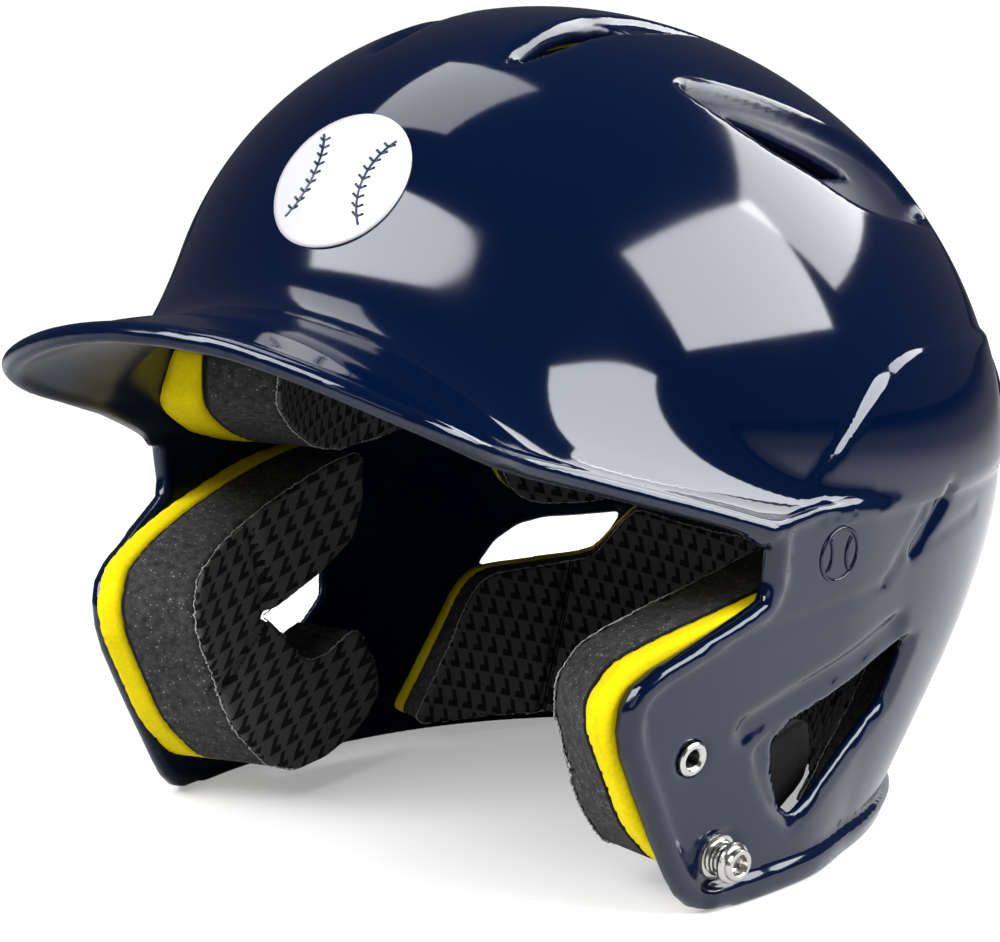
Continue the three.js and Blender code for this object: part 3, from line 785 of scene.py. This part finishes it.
BROW_HALF = [
    [(-46, 137), (-46, 151)], [(-41, 133), (-41, 156)], [(-32, 131), (-32, 160)], [(-22, 130), (-22, 162)],
    [(-11, 129.5), (-11, 163)], [(0, 129.5), (0, 163)]]


def whole(half):
    centre = half[-1][0][0]
    return half + [[(2 * centre - d, z) for d, z in pair] for pair in half[-2::-1]]


def flat_outline(stations, corner):
    loop = [a for a, _ in stations] + [b for _, b in reversed(stations)]
    return rounded([(d * PER_DEGREE, z) for d, z in loop], corner, 2)


def wall_depth(degrees, level, ledge):
    """Depth at which the inside of the moulding lies, at places round the head."""
    low, high = np.full(len(degrees), -22.0), np.full(len(degrees), 7.0)
    for _ in range(14):
        middle = (low + high) / 2
        outside = body_distance(*on_surface(degrees, level, middle, ledge).T) > -WALL - 0.12
        low, high = np.where(outside, middle, low), np.where(outside, high, middle)
    return high


def pad_layer(name, outline, near, far, edge, material, slot, ledge=True, mirrored=False, cuts=(), dent=None,
              glued=False, place=None):
    """One layer of a pad, drawn flat and wrapped on to the inside of the shell."""

    thin = far - near < 2
    cell = PAD_CELL * (0.62 if thin else 1)

    def field(p):
        side = outline_distance(p[:, :2], outline)
        sunk = dent(p) if dent else 0
        slab = np.maximum(p[:, 2] + sunk - far, near - p[:, 2] - (sunk if thin else 0))
        out = smax(side, slab, edge)
        for cut in cuts:
            out = smax(out, -outline_distance(p[:, :2], cut), edge)
        return out

    low = (*(outline.min(0) - 3), near - 2)
    high = (*(outline.max(0) + 3), far + 2)
    flat, faces = surface_net(field, low, high, cell, steps=3)
    depth = flat[:, 2].copy()
    degrees = flat[:, 0] / PER_DEGREE
    if place is None:
        if glued:
            wall = wall_depth(degrees, flat[:, 1], ledge)
            depth = far - (far - depth) * (far - wall) / (far - near)
        points = on_surface(degrees, flat[:, 1], depth, ledge)
    else:
        points = place(flat[:, 0], flat[:, 1], depth)
    if mirrored:
        points = points * (-1, 1, 1)
    piece = add_mesh(name, points, outward(points, faces), material, slot)
    mark_matt_and_dark(piece, flat[:, 2] < near + 0.7)
    uv = piece.data.uv_layers.new(name="flat")
    loops = np.zeros(len(piece.data.loops), np.int32)
    piece.data.loops.foreach_get("vertex_index", loops)
    uv.data.foreach_set("uv", (flat[loops, :2] * 0.01).astype(np.float32).ravel())
    return piece


def on_crown(x, y, depth):
    rise = np.sqrt(1 - (x / (HALF_WIDTH - depth)) ** 2 - (y / (HALF_LENGTH - depth)) ** 2)
    height = WIDEST_LEVEL + (CROWN_RISE - depth) * rise
    return np.stack([x, y - CROWN_LEAN * (height - WIDEST_LEVEL), height], -1)


def fuzz(name, outline, depth, material, seed, ledge=True, mirrored=False):
    """The pale cut edge of a liner: a thin frayed thread round its outline."""
    rng = np.random.default_rng(seed)
    closed = np.vstack([outline, outline[:1]])
    lengths = np.concatenate([[0], np.cumsum(np.linalg.norm(np.diff(closed, axis=0), axis=1))])
    at = np.arange(0, lengths[-1], 0.55)
    u = np.interp(at, lengths, closed[:, 0])
    v = np.interp(at, lengths, closed[:, 1])
    ahead = np.stack([np.roll(u, -1) - np.roll(u, 1), np.roll(v, -1) - np.roll(v, 1)], -1)
    ahead /= np.maximum(np.linalg.norm(ahead, axis=1), 1e-9)[:, None]
    slow = np.convolve(np.tile(rng.normal(0, 1, len(at)), 3), np.ones(9) / 9, "same")[len(at):2 * len(at)]
    out = 0.12 + 0.28 * slow + rng.normal(0, 0.09, len(at))
    down = depth + 0.35 * np.roll(slow, 40) + rng.normal(0, 0.10, len(at))
    thick = np.clip(0.17 + 0.08 * rng.normal(0, 1, len(at)), 0.06, 0.36)
    ring = []
    for k in range(4):
        a = math.tau * k / 4
        du = out + thick * math.cos(a)
        ring.append(on_surface((u + ahead[:, 1] * du) / PER_DEGREE, v - ahead[:, 0] * du,
                               down + thick * math.sin(a), ledge))
    points = np.stack(ring, 1).reshape(-1, 3)
    n = len(at)
    faces = []
    for k in range(4):
        i = np.arange(n)
        j = (i + 1) % n
        m = (k + 1) % 4
        faces.append(np.stack([i * 4 + k, j * 4 + k, j * 4 + m, i * 4 + m], -1))
    faces = np.vstack(faces)
    if mirrored:
        points = points * (-1, 1, 1)
    return add_mesh(name, points, faces, material, "liner_fabric")


def seam_dent(lines, width, depth):
    flat = [np.array([(d * PER_DEGREE, z) for d, z in line]) for line in lines]

    def dent(p):
        away = np.min([line_distance(p[:, :2], line) for line in flat], 0)
        return depth * np.exp(-(away / width) ** 2)
    return dent


def laminated(name, stations, layers, seed, ledge=True, sides=("",), corner=2.0, seams=(), vent_cuts=(),
              seam_depth=1.6):
    outline = flat_outline(stations, corner)
    d0 = GLUE_DEPTH
    d1, d2 = d0 + layers[0], d0 + layers[0] + layers[1]
    d3 = d2 + layers[2]
    for side in sides:
        mirrored = side == "_right"
        full = name + side
        dent = seam_dent(seams, 1.5, seam_depth) if seams else None
        base = pad_layer(full + "_base_foam", outline, d0, d1 - GAP, 0.9, base_paint, "base_foam",
                         ledge, mirrored, vent_cuts, glued=True)
        comfort = pad_layer(full + "_comfort_foam", outline, d1, d2 - GAP, 1.0, foam_paint,
                            "comfort_foam", ledge, mirrored, dent=dent)
        liner = pad_layer(full + "_fabric", outline, d2, d3, 0.5, fabric_paint, "liner_fabric",
                          ledge, mirrored, dent=dent)
        for piece, part in ((base, "base"), (comfort, "comfort"), (liner, "liner")):
            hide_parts(f"{full}_{part}")
        fuzz(full + "_cut_edge", outline, d2 + 0.2, thread_paint, seed + mirrored, ledge, mirrored)


EAR_SEAMS = [[(68, 75), (69.5, 62), (71, 49)], [(71, 48.5), (67, 41), (63, 35)]]
vent_cut = rounded([(d * PER_DEGREE, z) for d, z in (
    (73, 38), (75, 47), (85, 53), (91, 60), (98, 58), (98, 9), (84, 9), (79, 13), (75, 27))], 3.0)
laminated("ear_pad", EAR_PAD, THICK, 11, sides=("_left", "_right"), seams=EAR_SEAMS, vent_cuts=[vent_cut])
laminated("side_pad", SIDE_PAD, THICK, 21, ledge=False, sides=("_left", "_right"), corner=3.0,
          seams=[[(87, 84), (87, 136)]])
laminated("nape_pad", whole(NAPE_HALF), THIN, 31, corner=3.0,
          seams=[[(138, 0), (138, 60)], [(222, 0), (222, 60)]],
          seam_depth=2.2)
laminated("rear_pad", whole(REAR_HALF), THIN, 41, corner=4.0)
# The pad under the crown has a channel behind each crown slot.
CROWN_HALF_WIDTH, CROWN_HALF_LENGTH = 46, 52
turn = np.linspace(0, math.tau, 48, endpoint=False)
crown_outline = np.stack([CROWN_HALF_WIDTH * np.cos(turn), CROWN_HALF_LENGTH * np.sin(turn)], -1)
channel = rounded([(9, -60), (35, -60), (35, 26), (11, 26)], 5.0, 3)
channels = [channel, channel * (-1, 1)]
depth = GLUE_DEPTH
for part, thickness, paint, kind in zip(
        ("base", "comfort", "liner"), THIN, (base_paint, foam_paint, fabric_paint),
        ("base_foam", "comfort_foam", "fabric")):
    slot = "liner_fabric" if part == "liner" else kind
    piece = pad_layer("crown_pad_" + kind, crown_outline, depth, depth + thickness - GAP, 0.6, paint, slot,
                      cuts=channels, place=on_crown)
    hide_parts("crown_pad_" + part)
    depth += thickness
laminated("brow_pad", whole(BROW_HALF), THIN, 51, ledge=False, corner=4.0)


# ---- hardware

def lathe(name, profile, centre, side, material, node, segments=64):
    """Turned piece on the shell. The profile is (radius, height above the shell's outside)."""
    g = gradient(lambda p: body_distance(*p.T), centre[None])[0]
    axis = g / np.linalg.norm(g)
    first = np.cross(axis, (0, 0, 1.0))
    first /= np.linalg.norm(first)
    second = np.cross(axis, first)
    turn = np.linspace(0, math.tau, segments, endpoint=False)
    ring = np.cos(turn)[:, None] * first + np.sin(turn)[:, None] * second
    points = np.concatenate([centre + r * ring + h * axis for r, h in profile])
    points[:, 0] *= side
    n = len(profile)
    faces = []
    for i in range(n):
        j = (i + 1) % n
        k = np.arange(segments)
        m = (k + 1) % segments
        faces.append(np.stack([i * segments + k, i * segments + m, j * segments + m, j * segments + k], -1))
    faces = np.vstack(faces)
    faces = outward(points, faces, centre * (side, 1, 1))
    piece = add_mesh(name, points, faces, material, "hardware")
    piece.data.set_sharp_from_angle(angle=math.radians(28))
    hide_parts(node)
    # Points inside the bore get 1, which the metal paints as dark shade.
    dark = np.array([1.0 if r < 2.6 and h < 0.3 else 0.0 for r, h in profile])
    mark_matt_and_dark(piece, np.repeat(dark, segments))
    return piece


# Turned shapes, from the back of the wall outwards and back in to the axis.

def threads(radius, top, bottom, pitch, depth):
    """Profile of a threaded bore, from its mouth inwards."""
    out = []
    height = top
    while height > bottom:
        out += [(radius, height), (radius + depth, height - pitch / 2)]
        height -= pitch
    return out


INSERT_PROFILE = [(3.2, -4.4), (3.2, -0.3), (4.1, -0.25), (4.3, 0.05), (4.25, 0.5), (3.9, 0.8), (2.9, 0.85),
                  (2.45, 0.5)] + threads(2.1, 0.1, -3.4, 0.8, 0.3) + [(2.1, -3.6), (0.02, -3.7), (0.02, -4.4)]
STUD_PROFILE = [
    (0.02, -4.4), (2.2, -4.4), (2.2, -0.9), (5.6, -0.9), (5.9, -0.5), (5.9, 0.5), (5.7, 0.95), (5.2, 1.2),
    (4.6, 1.25), (4.35, 1.5), (4.3, 2.3), (4.1, 2.6), (3.4, 2.75), (3.2, 3.0), (3.2, 4.2), (3.5, 4.5),
    (4.7, 4.7), (5.1, 5.0), (5.15, 5.6), (4.9, 6.1), (4.3, 6.35), (4.05, 6.6), (3.95, 7.7), (3.7, 8.1),
    (3.3, 8.2), (2.75, 8.15), (2.5, 7.9), (2.4, 6.4), (2.1, 6.0), (0.9, 5.9), (0.02, 5.9)]
for suffix, side in (("left", 1), ("right", -1)):
    lathe("threaded_insert_" + suffix, INSERT_PROFILE, INSERT_AT, side, metal_paint,
          "guard_insert_" + suffix)
    lathe("snap_stud_" + suffix, STUD_PROFILE, STUD_AT, side, metal_paint, "strap_stud_" + suffix)


# ---- marks: plain ball outlines

def stand_off(points, height):
    """Points moved along the shell's own normal until they stand `height` outside it."""
    for _ in range(5):
        f = body_distance(*points.T) - height
        g = gradient(lambda p: body_distance(*p.T), points)
        points = points - f[:, None] * g / np.einsum("ij,ij->i", g, g)[:, None]
    return points


def wires(name, lines, radius, height, material, slot):
    """Thin round wires that follow the shell along lines of points."""
    points, faces, count = [], [], 0
    for line, closed in lines:
        line = stand_off(np.asarray(line, float), height)
        ahead = np.roll(line, -1, 0) - np.roll(line, 1, 0)
        if not closed:
            ahead[0], ahead[-1] = line[1] - line[0], line[-1] - line[-2]
        ahead /= np.linalg.norm(ahead, axis=1)[:, None]
        g = gradient(lambda p: body_distance(*p.T), line)
        g /= np.linalg.norm(g, axis=1)[:, None]
        across = np.cross(ahead, g)
        sides = 8
        turn = np.linspace(0, math.tau, sides, endpoint=False)
        rings = line[:, None] + radius * (np.cos(turn)[None, :, None] * across[:, None]
                                          + np.sin(turn)[None, :, None] * g[:, None])
        points.append(rings.reshape(-1, 3))
        n = len(line)
        for i in range(n if closed else n - 1):
            j = (i + 1) % n
            for k in range(sides):
                m = (k + 1) % sides
                here, there = count + i * sides, count + j * sides
                faces.append([here + k, here + m, there + m, there + k])
        if not closed:
            for i, order in ((0, 1), (n - 1, -1)):
                ring = [count + i * sides + k for k in range(sides)][::order]
                faces += [[ring[0], ring[a], ring[a + 1], ring[a + 2]] for a in range(1, sides - 2, 2)]
        count += n * sides
    return add_mesh(name, np.vstack(points), np.array(faces), material, slot)


def ball_lines(centre, radius, side=1, stitches=0):
    """A ball's outline and its two seams, drawn round a point of the shell."""
    facet = Facet([centre])
    def place(u, v):
        p = facet.centre + facet.across * u[:, None] + facet.up * v[:, None]
        return p * (side, 1, 1)
    turn = np.linspace(0, math.tau, 72, endpoint=False)
    ring = place(radius * np.cos(turn), radius * np.sin(turn))
    seams = []
    for way in (1, -1):
        arc = np.linspace(-0.62, 0.62, 28)
        seams.append((place(way * radius * (1.45 - 1.06 * np.cos(arc)), radius * 1.06 * np.sin(arc)), False))
        for a in np.linspace(-0.5, 0.5, stitches) if stitches else ():
            at = np.array([way * radius * (1.45 - 1.06 * math.cos(a)), radius * 1.06 * math.sin(a)])
            for lift in (-1, 1):
                tip = at + radius * np.array([lift * 0.085, 0.05])
                seams.append((place(*np.linspace(at, tip, 3).T), False))
    return ring, seams


EMBLEM_CENTRE = on_surface(0, 172, 0, False)
EMBLEM_RADIUS, EMBLEM_HEIGHT, EMBLEM_BACK = 19, 0.55, 0.05      # heights are above the shell
facet = Facet([EMBLEM_CENTRE])
RINGS, SPOKES = 16, 96
turn = np.linspace(0, math.tau, SPOKES, endpoint=False)
top = []
for ring in range(1, RINGS + 1):
    r = EMBLEM_RADIUS * ring / RINGS
    top.append(facet.centre + facet.across * (r * np.cos(turn))[:, None]
               + facet.up * (r * np.sin(turn))[:, None])
middle = facet.centre[None]
upper = stand_off(np.vstack([middle] + top), EMBLEM_HEIGHT)
lower = stand_off(np.vstack([middle] + top), EMBLEM_BACK)
points = np.vstack([upper, lower])
faces = []
k = np.arange(SPOKES)
m = (k + 1) % SPOKES
below = len(upper)
for ring in range(RINGS - 1):
    a, b = 1 + ring * SPOKES, 1 + (ring + 1) * SPOKES
    faces.append(np.stack([a + k, b + k, b + m, a + m], -1))
    faces.append(np.stack([below + a + k, below + a + m, below + b + m, below + b + k], -1))
rim = 1 + (RINGS - 1) * SPOKES
faces.append(np.stack([rim + k, below + rim + k, below + rim + m, rim + m], -1))
pairs = np.arange(0, SPOKES, 2)
faces.append(np.stack([np.zeros_like(pairs), 1 + pairs, 1 + pairs + 1, 1 + (pairs + 2) % SPOKES], -1))
faces.append(np.stack([np.zeros_like(pairs) + below, below + 1 + (pairs + 2) % SPOKES, below + 1 + pairs + 1,
                       below + 1 + pairs], -1))
emblem = add_mesh("ball_emblem", points, np.vstack(faces), emblem_paint, "emblem")
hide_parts("front_emblem")
_, seams = ball_lines(EMBLEM_CENTRE, EMBLEM_RADIUS, 1, 9)
wires("ball_emblem_seams", seams, 0.38, 0.45, stitch_paint, "emblem")

FLAP_MARK = np.array((100.4, -36, 84.5))
FLAP_MARK_RADIUS = 6.5
for suffix, side in (("left", 1), ("right", -1)):
    ring, seams = ball_lines(FLAP_MARK, FLAP_MARK_RADIUS, side)
    wires("flap_mark_" + suffix, [(ring, True)] + seams, 0.5, 0.05, shell_paint, "shell")

# ---- stage, light, camera

# The floor fades from pale to white between two distances from the helmet, in metres. Its white to the camera
# is a painted glow, seen by camera rays only, weak near the helmet and full far away; its own colour darkens
# away from the helmet.
FADE_START, FADE_END = 0.25, 1.0
bpy.ops.mesh.primitive_plane_add(size=8, location=(0, 0, -0.0002))
floor = bpy.context.object
floor.name = "studio_floor"
floor_paint, _ = principled("floor_painted_glow", (0.55, 0.55, 0.56), 0.8)
g = Graph(floor_paint)
g.shader.inputs["Emission Color"].default_value = (1, 1, 1, 1)
radius = g.node("ShaderNodeVectorMath", operation="LENGTH")
g.link(g.place(), radius.inputs[0])
spread = g.node("ShaderNodeMapRange", interpolation_type="SMOOTHSTEP")
spread.inputs["From Min"].default_value = FADE_START
spread.inputs["From Max"].default_value = FADE_END
g.link(radius.outputs["Value"], spread.inputs["Value"])
near = g.math("SUBTRACT", 1.0, spread.outputs[0])
g.link(g.ramp(near, (0.0, (0.05, 0.05, 0.05)), (1.0, (0.58, 0.58, 0.59))), g.shader.inputs["Base Color"])
# Painted glow: the floor emits light to camera rays only, so it looks bright without a lamp on it.
seen = g.node("ShaderNodeLightPath").outputs["Is Camera Ray"]
glow = g.math("ADD", 0.33, g.math("MULTIPLY", spread.outputs[0], 0.67))
g.link(g.math("MULTIPLY", glow, seen), g.shader.inputs["Emission Strength"])
floor.data.materials.append(floor_paint)

world = bpy.data.worlds.new("studio")
bpy.context.scene.world = world
bpy.context.scene.view_settings.view_transform = "Standard"
world.use_nodes = True
tree = world.node_tree
background = tree.nodes["Background"]
path = tree.nodes.new("ShaderNodeLightPath")
mix = tree.nodes.new("ShaderNodeMix")
mix.data_type = "RGBA"
mix.inputs["A"].default_value = (0.07, 0.07, 0.08, 1)
mix.inputs["B"].default_value = (1.0, 1.0, 1.0, 1)
tree.links.new(path.outputs["Is Camera Ray"], mix.inputs["Factor"])
tree.links.new(mix.outputs["Result"], background.inputs["Color"])


LIGHT_DISTANCE = 1.6
LIGHT_AIM = Vector((0, 0, 0.11))


def softbox(name, azimuth, elevation, width, height, radiance):
    """Light seen from the helmet at an azimuth from the front towards the wearer's left, all in degrees."""
    a, e = math.radians(azimuth), math.radians(elevation)
    place = LIGHT_AIM + LIGHT_DISTANCE * Vector((math.sin(a) * math.cos(e), -math.cos(a) * math.cos(e),
                                                 math.sin(e)))
    size = [2 * LIGHT_DISTANCE * math.tan(math.radians(v) / 2) for v in (width, height)]
    data = bpy.data.lights.new(name, "AREA")
    data.shape = "RECTANGLE"
    data.size, data.size_y = size
    data.energy = radiance * math.pi * size[0] * size[1]
    lamp = bpy.data.objects.new(name, data)
    bpy.context.scene.collection.objects.link(lamp)
    lamp.location = place
    lamp.rotation_euler = (LIGHT_AIM - place).to_track_quat("-Z", "Y").to_euler()


softbox("side_near", 103, 32, 44, 30, 12.0)
softbox("side_far", 154, 35, 40, 24, 8.5)
softbox("front", -18, 41, 52, 30, 11.5)
softbox("high_right", -104, 66, 26, 26, 4.0)
softbox("fill_front", 20, 12, 30, 14, 1.0)

# The camera stands where the photo was taken from.
AZIMUTH, ELEVATION, ROLL = map(math.radians, (36.97, 11.23, 0.65))
TARGET = Vector((54.21, -108.85, 109.8)) * MM + SHIFT
DISTANCE = 0.85003
LENS = 134.4
back = Vector((math.sin(AZIMUTH) * math.cos(ELEVATION), -math.cos(AZIMUTH) * math.cos(ELEVATION),
               math.sin(ELEVATION)))
right = Vector((math.cos(AZIMUTH), math.sin(AZIMUTH), 0))
up = back.cross(right)
tilted = right * math.cos(ROLL) + up * math.sin(ROLL)
upward = up * math.cos(ROLL) - right * math.sin(ROLL)
camera_data = bpy.data.cameras.new("camera")
camera_data.lens = LENS
camera_data.sensor_width = 36
camera = bpy.data.objects.new("camera", camera_data)
bpy.context.scene.collection.objects.link(camera)
place = TARGET + back * DISTANCE
camera.matrix_world = Matrix((
    (tilted.x, upward.x, back.x, place.x), (tilted.y, upward.y, back.y, place.y),
    (tilted.z, upward.z, back.z, place.z), (0, 0, 0, 1)))
bpy.context.scene.camera = camera
